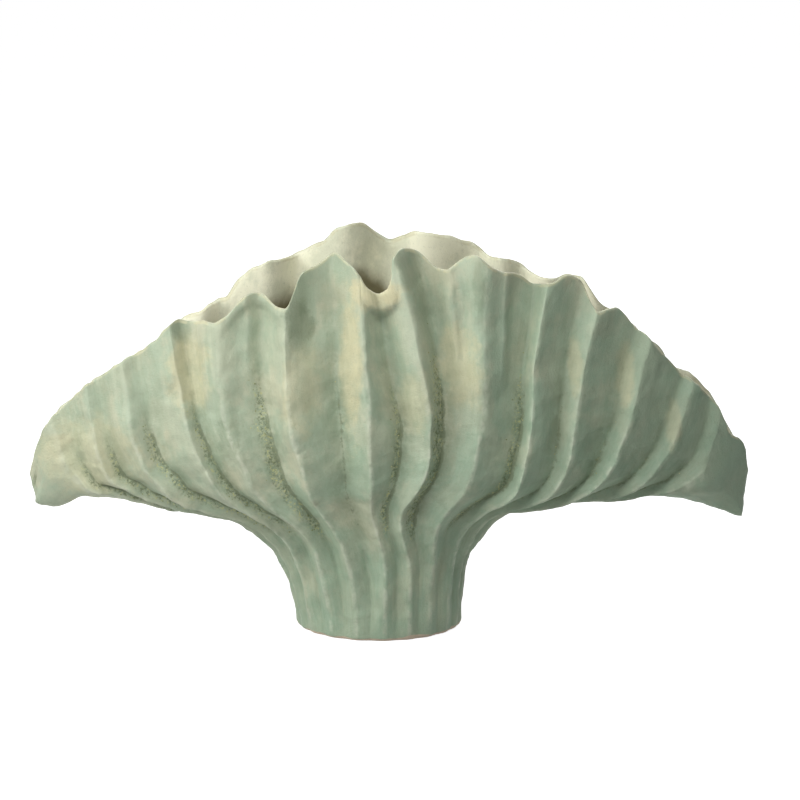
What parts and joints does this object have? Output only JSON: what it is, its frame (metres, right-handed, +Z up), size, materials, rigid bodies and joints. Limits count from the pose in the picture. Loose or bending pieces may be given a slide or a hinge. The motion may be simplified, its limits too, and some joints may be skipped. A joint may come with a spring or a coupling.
{
  "type": "fan vase",
  "caption": "Hand-built fan-shaped flower vase: fluted walls with a scalloped rim open wide above a round fluted foot, in a matt mottled glaze.",
  "frame": {"origin": "centre of the flat resting face under the foot", "axes": "+Z up, +X along the fan to the right seen from the front, -Y towards the front"},
  "size_m": [0.4508, 0.1377, 0.2468],
  "materials": {
    "matt_glaze": "dry matt glaze, mottled sage, cream and blue-green, crawled in the flutes",
    "bare_clay": "unglazed pinkish-beige stoneware, rough, glazed round its edge"
  },
  "bodies": {
    "root": {"base_slab": "bare_clay", "foot_wall": "matt_glaze", "front_fan_wall": "matt_glaze", "back_fan_wall": "matt_glaze", "left_keel": "matt_glaze", "right_keel": "matt_glaze", "left_tip": "matt_glaze", "right_tip": "matt_glaze"}
  },
  "joints": []
}
